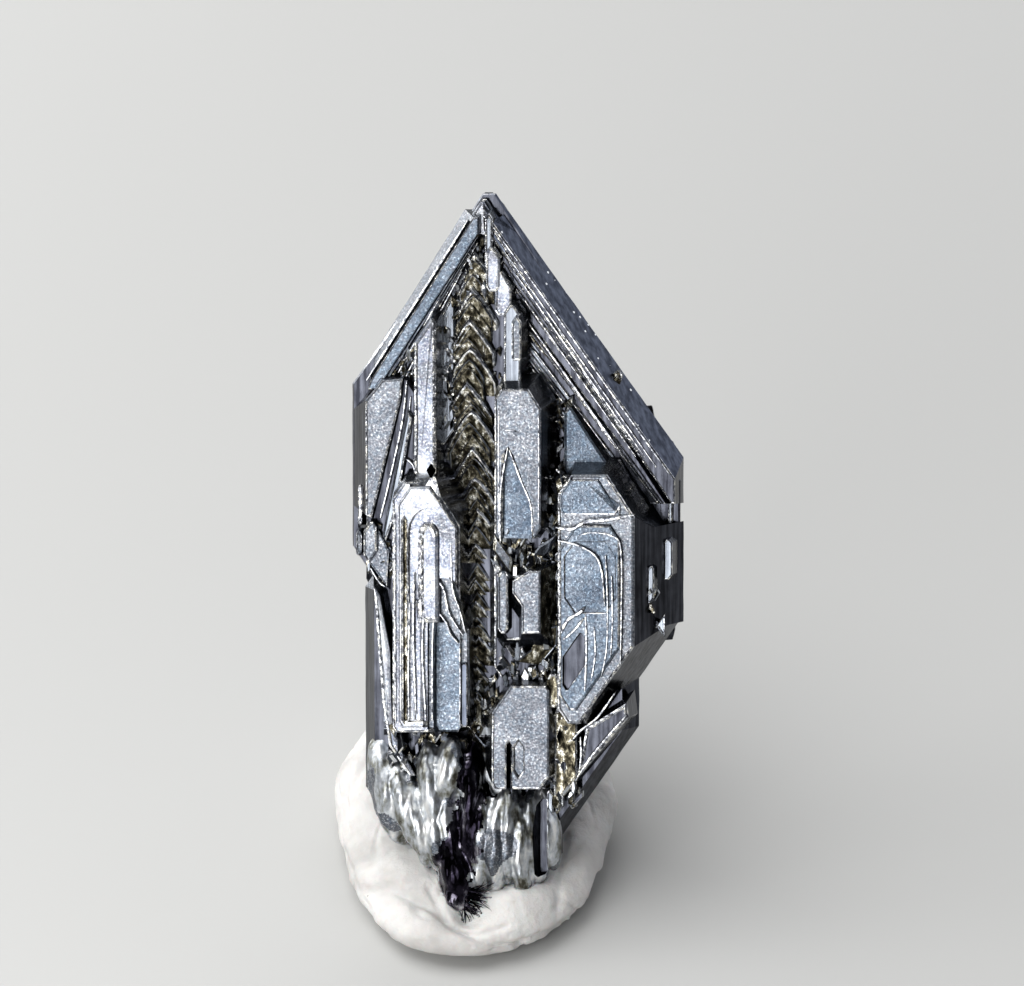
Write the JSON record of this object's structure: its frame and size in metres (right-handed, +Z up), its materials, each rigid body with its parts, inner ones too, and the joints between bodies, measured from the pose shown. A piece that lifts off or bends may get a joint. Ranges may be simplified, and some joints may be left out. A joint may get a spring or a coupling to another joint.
{
  "type": "tellurium specimen",
  "caption": "Natural skeletal tellurium crystal, pointed and deeply grooved, leaning back in a lump of white mounting putty with a flat underside",
  "frame": {"origin": "on the surface that the putty stands on, under the middle of the whole specimen's box", "axes": "+Z up, -Y towards the crystal's front, +X to the right of that front; the crystal leans back towards +Y"},
  "size_m": [0.0106, 0.0136, 0.0197],
  "materials": {
    "tellurium": "bright silvery metallic crystal faces, frosted in front, smooth and dark at the sides",
    "putty": "matte off-white, soft, finger pressed"
  },
  "bodies": {
    "root": {"tellurium_crystal": "tellurium", "putty_base": "putty"}
  },
  "joints": []
}
